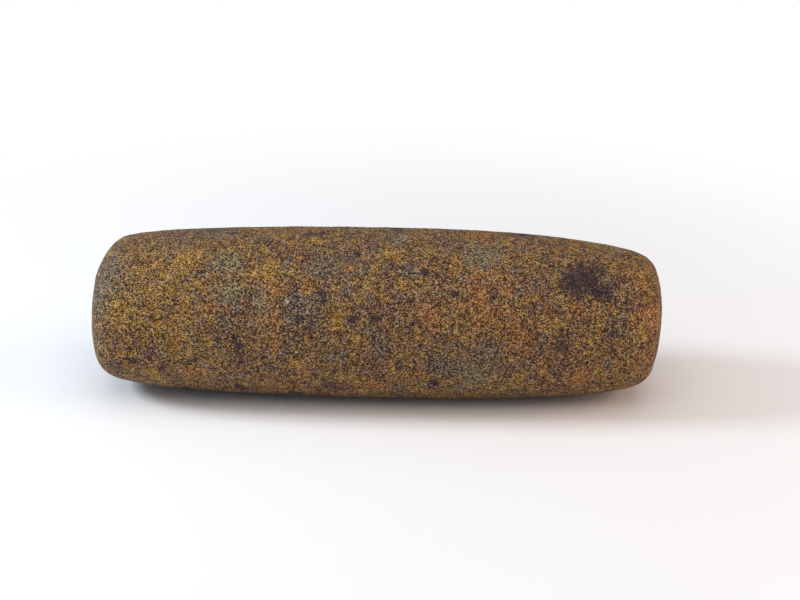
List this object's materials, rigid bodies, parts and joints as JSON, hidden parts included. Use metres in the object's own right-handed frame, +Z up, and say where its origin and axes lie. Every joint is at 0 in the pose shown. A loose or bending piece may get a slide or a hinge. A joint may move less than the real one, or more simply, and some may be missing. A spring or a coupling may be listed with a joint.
{
  "type": "hand stone",
  "caption": "Barrel-shaped bar of granular stone with blunt rounded ends and a worn flat along its underside, rubbed in both hands along a grinding slab.",
  "frame": {"origin": "under the middle of the bar, on the worn flat that it rests on", "axes": "+X along the bar towards its slimmer end, +Y across it away from the side that the picture shows, +Z up"},
  "size_m": [0.2402, 0.075, 0.0693],
  "materials": {
    "stone": "pecked and ground granular stone, ochre brown with olive grey, orange and near-black specks"
  },
  "bodies": {
    "root": {"hand_stone": "stone"}
  },
  "joints": []
}
